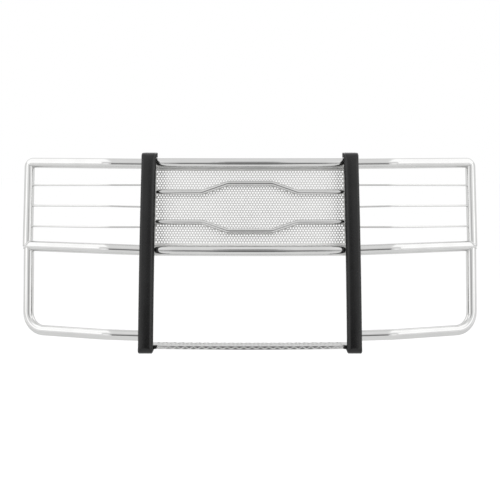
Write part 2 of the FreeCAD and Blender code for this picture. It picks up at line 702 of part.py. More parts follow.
def write_all():
    """Build every piece and write its file."""
    os.makedirs("parts", exist_ok=True)

    write_pair("upright", make_upright())
    write_pair("upright_ribs", make_ribs())
    write_pair("pad", make_pad())
    write_pad_fasteners()

    write_part("centre_top_tube", tube(bowed_path(CENTRE_TOP_HEIGHT), TUBE_RADIUS, TUBE_WALL))
    write_part("centre_lower_tube", tube(bowed_path(CENTRE_LOWER_HEIGHT), TUBE_RADIUS, TUBE_WALL))
    write_part("upper_bent_bar", make_bent_bar(UPPER_BAR_HEIGHTS))
    write_part("lower_bent_bar", make_bent_bar(LOWER_BAR_HEIGHTS))
    write_part("grille_panel", make_grille_panel())
    strip_gap = TUBE_RADIUS - 4
    write_part("panel_top_strip", make_panel_strip(CENTRE_TOP_HEIGHT - strip_gap - STRIP_HEIGHT))
    write_part("panel_lower_strip", make_panel_strip(CENTRE_LOWER_HEIGHT + strip_gap))

    write_part("step_plate", make_step_plate())
    write_pair("step_angle", make_step_angle())
    write_step_fasteners()

    write_pair("wing_top_tube", make_wing_top_tube())
    write_pair("wing_mid_tube", make_wing_mid_tube())
    write_pair("wing_mid_cap", make_wing_mid_cap())
    write_pair("wing_lower_loop", make_wing_lower_loop())
    write_pair("wing_end_post", make_wing_end_post())
    write_pair("wing_corner", make_wing_corner())
    for name, heights in ROD_HEIGHTS.items():
        write_pair("wing_rod_" + name, make_wing_rod(heights))

    write_pair("frame_bracket", make_frame_bracket())
    write_bracket_fasteners()


write_all()
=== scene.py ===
# Visual model of a front grille guard for a truck.  The CAD nodes get their materials, detailed
# pieces replace the punched sheet, the step and the two pads, and weld beads are added.

import json
import math

import bmesh
import bpy
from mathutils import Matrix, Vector
from mathutils.bvhtree import BVHTree


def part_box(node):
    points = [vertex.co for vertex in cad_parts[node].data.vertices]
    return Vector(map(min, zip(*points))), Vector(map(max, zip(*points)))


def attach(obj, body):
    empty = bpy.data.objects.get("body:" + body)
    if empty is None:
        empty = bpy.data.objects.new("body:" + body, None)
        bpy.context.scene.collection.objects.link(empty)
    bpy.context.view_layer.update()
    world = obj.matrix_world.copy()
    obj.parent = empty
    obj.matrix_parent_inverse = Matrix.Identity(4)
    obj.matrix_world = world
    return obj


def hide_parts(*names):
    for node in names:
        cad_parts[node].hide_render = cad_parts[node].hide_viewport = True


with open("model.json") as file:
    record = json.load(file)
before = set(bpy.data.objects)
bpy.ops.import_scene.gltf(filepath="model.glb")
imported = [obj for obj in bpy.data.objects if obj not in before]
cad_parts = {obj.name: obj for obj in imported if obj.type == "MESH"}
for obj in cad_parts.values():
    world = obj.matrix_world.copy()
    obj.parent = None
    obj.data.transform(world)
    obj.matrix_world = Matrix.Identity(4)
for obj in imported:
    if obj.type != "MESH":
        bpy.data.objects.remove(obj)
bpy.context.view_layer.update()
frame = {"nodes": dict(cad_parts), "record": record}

# Camera: in front of the guard, a little higher than its top, and tilted slightly down.
CAMERA_PLACE = (0.0, -5.1615, 0.6825)
CAMERA_PITCH = math.radians(2.0)
CAMERA_SENSOR = 36.0            # millimetres, like the lens
CAMERA_LENS = 85.985
CAMERA_SHIFT = -0.1369

# Studio, in metres.  Each card has a name, a place, a width and height, how far its edges fade, and
# a strength; the last value says whether it lies flat.  Each side card has a mirrored twin.
WORLD_GLOW = 1.0
FLOOR_HEIGHT = -0.9
FLOOR_REACH = 40.0
FLOOR_GLOW = 0.17
FLOOR_COLOUR = (0.82, 0.82, 0.82, 1)
FLOOR_ROUGHNESS = 0.9
WHITE = (1, 1, 1, 1)
DARK_CARDS = (
    ("dark_end", (0.0, -4.90, 0.02), (3.5, 2.5), (0.6, 0.6), 0.16, False),
    ("dim_wall", (0.0, -5.00, 1.10), (4.2, 5.4), (1.0, 3.0), 0.62, False),
    ("dark_band", (0.0, -4.92, 2.80), (1.5, 3.3), (0.4, 0.4), 0.35, False),
    ("dark_floor", (0.0, -3.75, -0.88), (1.5, 2.7), (0.5, 0.9), 0.16, True),
    ("dim_floor", (0.0, -2.00, -0.89), (9.0, 9.0), (1.0, 1.0), 0.95, True),
)
SIDE_CARDS = (
    ("low_box", (2.75, -4.60, -0.15), (1.8, 1.7), (0.35, 0.5), 1.45, False),
    ("side_box", (6.6, -3.90, 2.60), (5.4, 4.6), (0.6, 0.9), 1.55, False),
    ("top_box", (3.9, -0.20, 3.40), (5.8, 7.0), (0.5, 1.0), 1.50, True),
)

# Noise lies mostly between the first two values; colours blend between the last two.
NOISE_LOW = 0.3
NOISE_HIGH = 0.7
BLEND_START = 0.35
BLEND_END = 0.65

# Polished steel: the darker end of its colour as a share of the tint, and its tint at grazing angles.
STEEL_SHADE = 0.96
STEEL_EDGE_TINT = (0.80, 0.80, 0.80, 1)

# Black rubber: roughness and gloss of the pads' fronts, and how much duller their sides are.
RUBBER_ROUGHNESS = (0.22, 0.30)
RUBBER_GLOSS = 0.4
RUBBER_SIDE_GLOSS = 0.12
RUBBER_SIDE_DULLNESS = 0.45

# Shape of the guard that the replaced pieces share, in metres.
FEET_HEIGHT = -0.200            # the uprights' feet, below the row's origin
PAD_FRONT = -0.262              # the pads' front face at the feet
FRONT_ARC_RADIUS = 4.300        # the uprights lean back along this arc
FOOT_LEAN = math.radians(8.3)
CENTRE_BOW = 0.018              # the centre section bows forward by this much

# Punched sheet: 8 mm round holes on a 12 mm staggered pitch.
SHEET_THICKNESS = 0.0016
HOLE_RADIUS = 0.004
HOLE_PITCH = 0.012
HOLE_STAGGER = math.radians(60)
HOLE_SIDES = 16
SHEET_SIDE_MARGIN = 0.002
SHEET_FOOT_MARGIN = 0.014
SHEET_TOP_MARGIN = 0.014
SHEET_SHARP_ANGLE = math.radians(30)

# Tread-plate step.
STEP_THICKNESS = 0.003
STEP_BEND_RADIUS = 0.0045
STEP_BEND_STEPS = 5
STEP_INNER_BEND_STEPS = 3
STEP_STATIONS = 96
STEP_SHARP_ANGLE = math.radians(35)
LUG_LENGTH = 0.021
LUG_WIDTH = 0.0055
LUG_HEIGHT = 0.0016
LUG_PITCH = 0.0175
LUG_RINGS = 8
LUG_SIDES = 10
LIP_LUG_SLOPE = 0.55
LIP_LUG_DROP = 0.001            # below the middle of the lip

# Rubber pads.
PAD_WALL = 0.006
PAD_DEPTH = 0.058               # the side walls reach back this far between the ends
PAD_REAR = 0.136                # the ends of a pad reach back to the upright's rear edge
PAD_CAP_HEIGHT = 0.022
PAD_CAVITY_FOOT = 0.005         # the inside of a pad, at its foot
PAD_TOP_ROUND = 0.038
PAD_FOOT_ROUND = 0.026
PAD_EDGE_ROUND = 0.012
PAD_END_EDGE_ROUND = 0.0055
PAD_CROWN = 0.0035              # the face is this much lower at its edges
PAD_RIM_ROUND = 0.0012
PAD_RIM_STEPS = 2
PAD_RIM_ANGLE = math.radians(50)
PAD_SHARP_ANGLE = math.radians(40)
PAD_SIDE_FACING = 0.85          # faces that look this much sideways are the dull sides
PAD_END_STEPS = 4
PAD_ROUND_STEPS = 12
PAD_FRONT_STEPS = 48
PAD_SIDE_STEPS = 24
PAD_EDGE_STEPS = 6
PAD_FACE_STEPS = 6

# Weld beads.
BEAD_SIZE = 0.0028
ROD_BEAD_SIZE = 0.0024
BEAD_SIDES = 8
BEAD_SHARP_ANGLE = math.radians(80)
RIPPLE_LENGTH = 0.005
RIPPLE_STATIONS = 4
RIPPLE_HEIGHT = 0.14            # as a share of the bead's size
FEWEST_RIPPLES = 6
MERGE_DISTANCE = 0.00002
CONTACT_GAP = 0.0006
PLATE_GAP = 0.004               # bent tubes come to the uprights at a slant


# Materials ----------------------------------------------------------------------------------------

def new_material(name):
    """A new node material, with its node tree and its shader."""
    material = bpy.data.materials.new(name)
    material.use_nodes = True
    tree = material.node_tree
    return material, tree, tree.nodes["Principled BSDF"]


def add_node(tree, kind, **values):
    """Add a node, set its properties, and set any input given by name."""
    node = tree.nodes.new(kind)
    for key, value in values.items():
        if hasattr(node, key):
            setattr(node, key, value)
        else:
            node.inputs[key.replace("_", " ")].default_value = value
    return node


def noise(tree, scale, detail=3.0, stretch=(1, 1, 1)):
    """Noise in the object's own coordinates, stretched along its axes."""
    place = add_node(tree, "ShaderNodeTexCoord")
    mapping = add_node(tree, "ShaderNodeMapping")
    mapping.inputs["Scale"].default_value = stretch
    texture = add_node(tree, "ShaderNodeTexNoise", Scale=scale, Detail=detail)
    tree.links.new(place.outputs["Object"], mapping.inputs["Vector"])
    tree.links.new(mapping.outputs["Vector"], texture.inputs["Vector"])
    return texture.outputs["Fac"]


def spread(tree, value, low, high):
    """Map noise onto a range."""
    node = add_node(tree, "ShaderNodeMapRange")
    node.inputs["From Min"].default_value = NOISE_LOW
    node.inputs["From Max"].default_value = NOISE_HIGH
    node.inputs["To Min"].default_value = low
    node.inputs["To Max"].default_value = high
    tree.links.new(value, node.inputs["Value"])
    return node.outputs["Result"]


def blend_colours(tree, value, first, second):
    """Mix two colours by noise."""
    ramp = add_node(tree, "ShaderNodeValToRGB")
    ramp.color_ramp.elements[0].color = (*first, 1)
    ramp.color_ramp.elements[0].position = BLEND_START
    ramp.color_ramp.elements[1].color = (*second, 1)
    ramp.color_ramp.elements[1].position = BLEND_END
    tree.links.new(value, ramp.inputs["Fac"])
    return ramp.outputs["Color"]


def bump(tree, value, strength, distance, normal=None):
    """A bump from a value, on top of another normal if one is given."""
    node = add_node(tree, "ShaderNodeBump")
    node.inputs["Strength"].default_value = strength
    node.inputs["Distance"].default_value = distance
    tree.links.new(value, node.inputs["Height"])
    if normal is not None:
        tree.links.new(normal, node.inputs["Normal"])
    return node.outputs["Normal"]


def polished_steel(name, tint=(0.665, 0.665, 0.66), roughness=(0.05, 0.10)):
    """Polished stainless steel: soft waves left by polishing, and fine scratches."""
    material, tree, shader = new_material(name)
    shader.inputs["Metallic"].default_value = 1.0
    shader.inputs["Specular Tint"].default_value = STEEL_EDGE_TINT
    darker = tuple(STEEL_SHADE * value for value in tint)
    colour = blend_colours(tree, noise(tree, scale=9.0), darker, tint)
    tree.links.new(colour, shader.inputs["Base Color"])
    rough = spread(tree, noise(tree, scale=60.0, stretch=(1, 3, 1)), *roughness)
    tree.links.new(rough, shader.inputs["Roughness"])
    waves = noise(tree, scale=28.0, detail=1.0)
    scratches = noise(tree, scale=900.0, detail=2.0, stretch=(0.2, 1, 1))
    waved = bump(tree, waves, strength=0.10, distance=0.002)
    scratched = bump(tree, scratches, strength=0.03, distance=0.0005, normal=waved)
    tree.links.new(scratched, shader.inputs["Normal"])
    return material


def moulded_rubber(name, gloss=RUBBER_GLOSS, dullness=0.0):
    """Black rubber with a fine grain and slightly worn, greyer patches."""
    material, tree, shader = new_material(name)
    patches = noise(tree, scale=14.0, detail=5.0)
    colour = blend_colours(tree, patches, (0.002, 0.002, 0.0021), (0.005, 0.005, 0.0052))
    tree.links.new(colour, shader.inputs["Base Color"])
    shader.inputs["Specular IOR Level"].default_value = gloss
    coarse_grain = noise(tree, scale=260.0, detail=3.0)
    fine_grain = noise(tree, scale=1500.0, detail=2.0)
    coarse = bump(tree, coarse_grain, strength=0.2, distance=0.0005)
    fine = bump(tree, fine_grain, strength=0.12, distance=0.0003, normal=coarse)
    tree.links.new(fine, shader.inputs["Normal"])
    low, high = RUBBER_ROUGHNESS
    rough = spread(tree, noise(tree, scale=35.0), low + dullness, high + dullness)
    tree.links.new(rough, shader.inputs["Roughness"])
    return material


def powder_coat(name):
    """Satin black powder coat with a faint orange peel."""
    material, tree, shader = new_material(name)
    colour = blend_colours(tree, noise(tree, scale=30.0), (0.016, 0.016, 0.017), (0.024, 0.024, 0.025))
    tree.links.new(colour, shader.inputs["Base Color"])
    rough = spread(tree, noise(tree, scale=80.0), low=0.34, high=0.46)
    tree.links.new(rough, shader.inputs["Roughness"])
    peel = bump(tree, noise(tree, scale=700.0, detail=1.0), strength=0.25, distance=0.0004)
    tree.links.new(peel, shader.inputs["Normal"])
    return material


def zinc_plate(name):
    """Zinc-plated steel with a cloudy passivated surface."""
    material, tree, shader = new_material(name)
    shader.inputs["Metallic"].default_value = 1.0
    clouds = noise(tree, scale=120.0, detail=4.0)
    colour = blend_colours(tree, clouds, (0.50, 0.50, 0.47), (0.62, 0.62, 0.60))
    tree.links.new(colour, shader.inputs["Base Color"])
    rough = spread(tree, noise(tree, scale=200.0), low=0.22, high=0.38)
    tree.links.new(rough, shader.inputs["Roughness"])
    return material


# Shapes -------------------------------------------------------------------------------------------

def make_object(name, vertices, faces, material, smooth_angle=None):
    """A mesh object from plain lists, with outward normals."""
    mesh = bpy.data.meshes.new(name)
    mesh.from_pydata(vertices, [], faces)
    mesh.update()
    work = bmesh.new()
    work.from_mesh(mesh)
    bmesh.ops.recalc_face_normals(work, faces=work.faces)
    work.to_mesh(mesh)
    work.free()
    if smooth_angle is not None:
        mesh.shade_smooth()
        mesh.set_sharp_from_angle(angle=smooth_angle)
    mesh.materials.append(material)
    made = bpy.data.objects.new(name, mesh)
    bpy.context.collection.objects.link(made)
    return made


def apply_modifiers(made):
    """Replace an object's mesh by what its modifiers make of it."""
    view = bpy.context.evaluated_depsgraph_get()
    mesh = bpy.data.meshes.new_from_object(made.evaluated_get(view))
    made.modifiers.clear()
    made.data = mesh


def add_piece(made, slot, *replaced):
    """Fix a piece to the guard in place of the nodes given. The slot argument is not used."""
    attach(made, "root")
    if replaced:
        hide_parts(*replaced)


def lean_at(height):
    """Angle of the uprights' front arc from the vertical, at a height above the feet."""
    return math.asin(math.sin(FOOT_LEAN) + height / FRONT_ARC_RADIUS)


def front_y(height):
    """Y of the pads' front face at a height above the feet."""
    return PAD_FRONT + FRONT_ARC_RADIUS * (math.cos(FOOT_LEAN) - math.cos(lean_at(height)))


def bow_at(x, half_width):
    """How far the centre section stands forward of its ends."""
    radius = (half_width ** 2 + CENTRE_BOW ** 2) / (2 * CENTRE_BOW)
    return math.sqrt(radius ** 2 - x ** 2) - (radius - CENTRE_BOW)


# Punched sheet ------------------------------------------------------------------------------------

def make_punched_sheet(material):
    """Bowed sheet with round holes in staggered rows, laid out like bricks with a hole in each."""
    low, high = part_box("grille_panel")
    half_width = high[0]
    foot_y = low[1] + CENTRE_BOW
    slope = (high[1] - SHEET_THICKNESS - foot_y) / (high[2] - low[2])
    row_rise = HOLE_PITCH * math.sin(HOLE_STAGGER) * math.cos(math.atan(slope))

    half_columns = int((half_width - SHEET_SIDE_MARGIN) / (HOLE_PITCH / 2))
    rows = int((high[2] - low[2] - SHEET_FOOT_MARGIN - SHEET_TOP_MARGIN) / row_rise)
    start_z = low[2] + SHEET_FOOT_MARGIN
    columns_x = [HOLE_PITCH / 2 * i for i in range(-half_columns, half_columns + 1)]
    columns_x = [-half_width] + columns_x + [half_width]
    rows_z = [low[2]] + [start_z + row_rise * j for j in range(rows + 1)] + [high[2]]

    vertices = []
    faces = []

    def point(x, z, back):
        y = foot_y + slope * (z - low[2]) - bow_at(x, half_width) + (SHEET_THICKNESS if back else 0)
        vertices.append((x, y, z))
        return len(vertices) - 1

    grids = [[[point(x, z, back) for x in columns_x] for z in rows_z] for back in (False, True)]

    def solid_cell(i, j):
        for grid in grids:
            faces.append((grid[j][i], grid[j][i + 1], grid[j + 1][i + 1], grid[j + 1][i]))

    def holed_cells(i, j):
        """Two cells side by side that share one round hole."""
        centre_x = columns_x[i + 1]
        centre_z = (rows_z[j] + rows_z[j + 1]) / 2
        rings = []
        for back, grid in enumerate(grids):
            ring = []
            for k in range(HOLE_SIDES):
                angle = 2 * math.pi * k / HOLE_SIDES
                x = centre_x + HOLE_RADIUS * math.cos(angle)
                z = centre_z + HOLE_RADIUS * math.sin(angle) * math.cos(math.atan(slope))
                ring.append(point(x, z, back))
            rings.append(ring)
            border = [grid[j][i + 2], grid[j + 1][i + 2], grid[j + 1][i + 1]]
            border += [grid[j + 1][i], grid[j][i], grid[j][i + 1]]
            turns = [eighths * HOLE_SIDES // 8 for eighths in (-1, 1, 2, 3, 5, 6, 7)]
            for side in range(6):
                first, last = turns[side], turns[side + 1]
                arc = [ring[k % HOLE_SIDES] for k in range(last, first - 1, -1)]
                faces.append((border[side], border[(side + 1) % 6], *arc))
        for k in range(HOLE_SIDES):
            after = (k + 1) % HOLE_SIDES
            faces.append((rings[0][k], rings[0][after], rings[1][after], rings[1][k]))

    last_column = len(columns_x) - 2
    last_row = len(rows_z) - 2
    for j in range(last_row + 1):
        i = 0
        while i <= last_column:
            inside = 1 <= i and i + 1 <= last_column - 1 and 1 <= j <= last_row - 1
            if inside and (i + j) % 2 == 0:
                holed_cells(i, j)
                i += 2
            else:
                solid_cell(i, j)
                i += 1
    front, rear = grids
    for j in (0, last_row + 1):
        for i in range(last_column + 1):
            faces.append((front[j][i], front[j][i + 1], rear[j][i + 1], rear[j][i]))
    for i in (0, last_column + 1):
        for j in range(last_row + 1):
            faces.append((front[j][i], front[j + 1][i], rear[j + 1][i], rear[j][i]))
    sheet = make_object("punched_sheet", vertices, faces, material, SHEET_SHARP_ANGLE)
    add_piece(sheet, "punched_sheet", "grille_panel")


# Step ---------------------------------------------------------------------------------------------

def arc_points(centre, radius, start, end, count):
    """Points along an arc, as (y, z) pairs."""
    angles = [start + (end - start) * k / count for k in range(count + 1)]
    return [(centre[0] + radius * math.cos(a), centre[1] + radius * math.sin(a)) for a in angles]


def step_section(foot, top, depth):
    """Outline of the step's section: a shelf with a lip along both edges and rounded bends."""
    outer = STEP_BEND_RADIUS
    inner = STEP_BEND_RADIUS - STEP_THICKNESS
    front_bend = (outer, top - outer)
    rear_bend = (depth - outer, top - outer)
    up, front = math.pi / 2, math.pi
    outline = [(0, foot)]
    outline += arc_points(front_bend, outer, front, up, STEP_BEND_STEPS)
    outline += arc_points(rear_bend, outer, up, 0, STEP_BEND_STEPS)
    outline += [(depth, foot), (depth - STEP_THICKNESS, foot)]
    outline += arc_points(rear_bend, inner, 0, up, STEP_INNER_BEND_STEPS)
    outline += arc_points(front_bend, inner, up, front, STEP_INNER_BEND_STEPS)
    outline += [(STEP_THICKNESS, foot)]
    return outline


def add_lug(vertices, faces, centre, along, across, outward):
    """A low, long dome that stands half above the plate."""
    first = len(vertices)
    for ring in range(1, LUG_RINGS):
        polar = math.pi * ring / LUG_RINGS
        for k in range(LUG_SIDES):
            turn = 2 * math.pi * k / LUG_SIDES
            offset = along * (LUG_LENGTH / 2 * math.cos(polar))
            offset += across * (LUG_WIDTH / 2 * math.sin(polar) * math.cos(turn))
            offset += outward * (LUG_HEIGHT * math.sin(polar) * math.sin(turn))
            vertices.append(tuple(centre + offset))
    tip = len(vertices)
    vertices.append(tuple(centre + along * (LUG_LENGTH / 2)))
    vertices.append(tuple(centre - along * (LUG_LENGTH / 2)))
    for k in range(LUG_SIDES):
        after = (k + 1) % LUG_SIDES
        faces.append((tip, first + k, first + after))
        last = first + (LUG_RINGS - 2) * LUG_SIDES
        faces.append((tip + 1, last + after, last + k))
        for ring in range(LUG_RINGS - 2):
            here = first + ring * LUG_SIDES
            faces.append((here + k, here + after, here + LUG_SIDES + after, here + LUG_SIDES + k))


def make_step(material):
    """Bowed tread-plate step with raised lugs on its shelf and on its lips."""
    low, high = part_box("step_plate")
    half_width = high[0]
    front = low[1] + CENTRE_BOW
    depth = high[1] - front
    section = step_section(low[2], high[2], depth)
    vertices = []
    faces = []
    for i in range(STEP_STATIONS + 1):
        x = -half_width + 2 * half_width * i / STEP_STATIONS
        shift = front - bow_at(x, half_width)
        vertices += [(x, shift + y, z) for y, z in section]
    count = len(section)
    for here in range(0, STEP_STATIONS * count, count):
        for k in range(count):
            after = (k + 1) % count
            faces.append((here + k, here + after, here + count + after, here + count + k))
    faces.append(tuple(range(count)))
    faces.append(tuple(range(STEP_STATIONS * count, (STEP_STATIONS + 1) * count)))

    columns = int(half_width / LUG_PITCH)
    shelf_rows = int(depth / LUG_PITCH)
    first_row = (depth - (shelf_rows - 1) * LUG_PITCH) / 2
    lip_z = (low[2] + high[2]) / 2 - LIP_LUG_DROP
    x_axis, y_axis, z_axis = Vector((1, 0, 0)), Vector((0, 1, 0)), Vector((0, 0, 1))
    for i in range(-columns, columns + 1):
        x = i * LUG_PITCH
        if abs(x) > half_width - LUG_LENGTH / 2:
            continue
        shift = front - bow_at(x, half_width)
        for j in range(shelf_rows):
            sign = 1 if (i + j) % 2 == 0 else -1
            along = (x_axis + y_axis * sign).normalized()
            place = Vector((x, shift + first_row + j * LUG_PITCH, high[2]))
            add_lug(vertices, faces, place, along, along.cross(z_axis), z_axis)
        sign = 1 if i % 2 == 0 else -1
        along = (x_axis + z_axis * sign * LIP_LUG_SLOPE).normalized()
        for y, outward in ((shift, -y_axis), (shift + depth, y_axis)):
            add_lug(vertices, faces, Vector((x, y, lip_z)), along, along.cross(y_axis), outward)
    step = make_object("tread_step", vertices, faces, material, STEP_SHARP_ANGLE)
    add_piece(step, "tread_plate", "step_plate")


# Pads ---------------------------------------------------------------------------------------------

def pad_path(foot, top, foot_round, top_round, wall):
    """Side view of a pad's skin from its rear foot round the front to its rear top.

    Each entry is (y, z, inward y, inward z, flatness): a place, a unit normal into the pad, and 1 on
    the long front face or 0 on the ends.  Y is from the pads' front at the feet, Z from the feet.
    """
    middle_y = FRONT_ARC_RADIUS * math.cos(FOOT_LEAN)
    middle_z = -FRONT_ARC_RADIUS * math.sin(FOOT_LEAN)
    radius = FRONT_ARC_RADIUS - wall

    def round_end(round_radius, level):
        """Centre of a rounded end inside the front arc, and the angle where it meets the arc."""
        reach = radius - round_radius
        angle = math.asin((level - middle_z) / reach)
        return middle_y - reach * math.cos(angle), angle

    foot_y, foot_angle = round_end(foot_round, foot + foot_round)
    top_y, top_angle = round_end(top_round, top - top_round)
    quarter = math.pi / 2
    rear_foot_y = front_y(foot) - PAD_FRONT + PAD_REAR
    rear_top_y = front_y(top) - PAD_FRONT + PAD_REAR
    stations = []
    for k in range(PAD_END_STEPS):
        y = rear_foot_y + (foot_y - rear_foot_y) * k / PAD_END_STEPS
        stations.append((y, foot, 0, 1, 0))
    for k in range(PAD_ROUND_STEPS + 1):
        angle = -quarter + (foot_angle + quarter) * k / PAD_ROUND_STEPS
        y, z = math.cos(angle), math.sin(angle)
        flatness = max(0, 2 * k / PAD_ROUND_STEPS - 1)
        stations.append((foot_y - foot_round * y, foot + foot_round + foot_round * z, y, -z, flatness))
    for k in range(1, PAD_FRONT_STEPS):
        angle = foot_angle + (top_angle - foot_angle) * k / PAD_FRONT_STEPS
        y, z = math.cos(angle), math.sin(angle)
        stations.append((middle_y - radius * y, middle_z + radius * z, y, -z, 1))
    for k in range(PAD_ROUND_STEPS + 1):
        angle = top_angle + (quarter - top_angle) * k / PAD_ROUND_STEPS
        y, z = math.cos(angle), math.sin(angle)
        flatness = max(0, 1 - 2 * k / PAD_ROUND_STEPS)
        stations.append((top_y - top_round * y, top - top_round + top_round * z, y, -z, flatness))
    for k in range(1, PAD_END_STEPS + 1):
        y = top_y + (rear_top_y - top_y) * k / PAD_END_STEPS
        stations.append((y, top, 0, -1, 0))
    return stations


def pad_profile(half_width, edge_round, crown):
    """Points across a pad as (x, inset from its face): rounded edges and a slightly crowned face."""
    flat = half_width - edge_round
    right = [(flat * k / PAD_FACE_STEPS, 0.0) for k in range(PAD_FACE_STEPS)]
    for k in range(PAD_EDGE_STEPS + 1):
        angle = math.pi / 2 * k / PAD_EDGE_STEPS
        right.append((flat + edge_round * math.sin(angle), edge_round * (1 - math.cos(angle))))
    right = [(x, inset + crown * (x / half_width) ** 2) for x, inset in right]
    return [(-x, inset) for x, inset in reversed(right[1:])] + right


def pad_section(station, middle_x, half_width, outer):
    """The profile across a pad, placed at one station of its side view."""
    y, z, inward_y, inward_z, flatness = station
    if outer:
        edge_round = PAD_END_EDGE_ROUND + (PAD_EDGE_ROUND - PAD_END_EDGE_ROUND) * flatness
        profile = pad_profile(half_width, edge_round, PAD_CROWN * flatness)
    else:
        profile = pad_profile(half_width - PAD_WALL, PAD_RIM_ROUND, 0)
    return [
        (middle_x + x, PAD_FRONT + y + inward_y * inset, FEET_HEIGHT + z + inward_z * inset)
        for x, inset in profile
    ]


def pad_side_rear(x, top):
    """Rear edge of a pad's side wall, from its rear top down to its rear foot."""
    start = top - PAD_CAP_HEIGHT
    end = PAD_WALL
    heights = [start + (end - start) * k / PAD_SIDE_STEPS for k in range(PAD_SIDE_STEPS + 1)]
    places = [(PAD_REAR, heights[0])]
    places += [(PAD_DEPTH, height) for height in heights]
    places += [(PAD_REAR, heights[-1])]
    return [(x, front_y(height) + depth, FEET_HEIGHT + height) for depth, height in places]


def pad_shape(side):
    """Vertices and faces of a pad: an outer and an inner skin, joined along their borders."""
    low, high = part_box("pad_" + side)
    middle_x = (low[0] + high[0]) / 2
    half_width = (high[0] - low[0]) / 2
    foot = low[2] - FEET_HEIGHT
    top = high[2] - FEET_HEIGHT
    outside = pad_path(foot, top, PAD_FOOT_ROUND, PAD_TOP_ROUND, 0)
    cavity_rounds = (PAD_FOOT_ROUND - PAD_WALL, PAD_TOP_ROUND - PAD_WALL)
    cavity = pad_path(PAD_CAVITY_FOOT, top - PAD_WALL, *cavity_rounds, PAD_WALL)
    vertices = []
    faces = []
    borders = []
    ends = []
    for stations, side_x, outer in ((outside, half_width, True), (cavity, half_width - PAD_WALL, False)):
        first = len(vertices)
        for station in stations:
            vertices += pad_section(station, middle_x, half_width, outer)
        count = len(stations)
        across = (len(vertices) - first) // count
        for i in range(count - 1):
            for k in range(across - 1):
                here = first + i * across + k
                faces.append((here, here + 1, here + across + 1, here + across))
        last = first + (count - 1) * across
        ends.append((range(first, first + across), range(last, last + across)))
        borders.append([])
        for edge, x in ((0, middle_x - side_x), (across - 1, middle_x + side_x)):
            rear = range(len(vertices), len(vertices) + PAD_SIDE_STEPS + 3)
            vertices += pad_side_rear(x, top)
            faces.append((*(first + i * across + edge for i in range(count)), *rear))
            borders[-1].append((last + edge, *rear, first + edge))
    for outer_line, inner_line in (*zip(*ends), *zip(*borders)):
        for k in range(len(outer_line) - 1):
            faces.append((outer_line[k], outer_line[k + 1], inner_line[k + 1], inner_line[k]))
    return vertices, faces


def make_pad(side, material, side_material):
    """Moulded rubber pad: a deep U over the front of the upright, with both ends reaching over it."""
    vertices, faces = pad_shape(side)
    pad = make_object("rubber_pad_" + side, vertices, faces, material)
    rims = pad.modifiers.new("rims", "BEVEL")
    rims.width = PAD_RIM_ROUND
    rims.segments = PAD_RIM_STEPS
    rims.limit_method = "ANGLE"
    rims.angle_limit = PAD_RIM_ANGLE
    apply_modifiers(pad)
    pad.data.shade_smooth()
    pad.data.set_sharp_from_angle(angle=PAD_SHARP_ANGLE)
    pad.data.materials.append(side_material)
    for face in pad.data.polygons:
        face.material_index = int(abs(face.normal.x) > PAD_SIDE_FACING)
    add_piece(pad, "rubber_pad", "pad_" + side)


# Welds --------------------------------------------------------------------------------------------

def line_length(points):
    """Length of a closed line."""
    return sum((point - points[k - 1]).length for k, point in enumerate(points))


def trace_lines(neighbours):
    """Follow vertices round each closed line, given the two neighbours of each, as points."""
    lines = []
    while neighbours:
        start, following = neighbours.popitem()
        line = [start.co.copy()]
        here = following[0]
        while here in neighbours:
            line.append(here.co.copy())
            ahead = [vertex for vertex in neighbours.pop(here) if vertex in neighbours]
            if ahead:
                here = ahead[0]
        lines.append(line)
    return lines


def contact_line(node, others, gap):
    """The longest closed line round a part of a node that comes within a gap of other nodes."""
    work = bmesh.new()
    for other in others:
        work.from_mesh(frame["nodes"][other].data)
    tree = BVHTree.FromBMesh(work)
    work.clear()
    work.from_mesh(frame["nodes"][node].data)
    bmesh.ops.remove_doubles(work, verts=work.verts, dist=MERGE_DISTANCE)
    near = {vertex for vertex in work.verts if tree.find_nearest(vertex.co)[3] < gap}
    resting = {face for face in work.faces if all(vertex in near for vertex in face.verts)}
    neighbours = {}
    for edge in work.edges:
        if len(edge.link_faces) == 2 and sum(face in resting for face in edge.link_faces) == 1:
            first, second = edge.verts
            neighbours.setdefault(first, []).append(second)
            neighbours.setdefault(second, []).append(first)
    lines = trace_lines(neighbours)
    work.free()
    return max(lines, key=line_length, default=[])


def even_points(points, count):
    """Evenly spaced points along a closed line."""
    step = line_length(points) / count
    spaced = []
    travelled = 0.0
    for k, start in enumerate(points):
        end = points[(k + 1) % len(points)]
        length = (end - start).length
        while len(spaced) < count and len(spaced) * step <= travelled + length:
            share = (len(spaced) * step - travelled) / length if length else 0
            spaced.append(start.lerp(end, share))
        travelled += length
    return spaced


def make_bead(line, size, material):
    """A closed weld bead along a line, with the ripples that the puddle leaves."""
    ripples = max(FEWEST_RIPPLES, round(line_length(line) / RIPPLE_LENGTH))
    points = even_points(line, ripples * RIPPLE_STATIONS)
    count = len(points)
    middle = sum(points, Vector()) / count
    vertices = []
    faces = []
    for k, point in enumerate(points):
        tangent = (points[(k + 1) % count] - points[k - 1]).normalized()
        outward = (point - middle).normalized()
        across = tangent.cross(outward).normalized()
        ripple = 1 + RIPPLE_HEIGHT * math.sin(2 * math.pi * k / RIPPLE_STATIONS)
        for j in range(BEAD_SIDES):
            angle = 2 * math.pi * j / BEAD_SIDES
            offset = (outward * math.cos(angle) + across * math.sin(angle)) * (size * ripple)
            vertices.append(tuple(point + offset))
    for k in range(count):
        here = k * BEAD_SIDES
        after = (k + 1) % count * BEAD_SIDES
        for j in range(BEAD_SIDES):
            other = (j + 1) % BEAD_SIDES
            faces.append((here + j, here + other, after + other, after + j))
    return make_object("bead", vertices, faces, material, BEAD_SHARP_ANGLE)


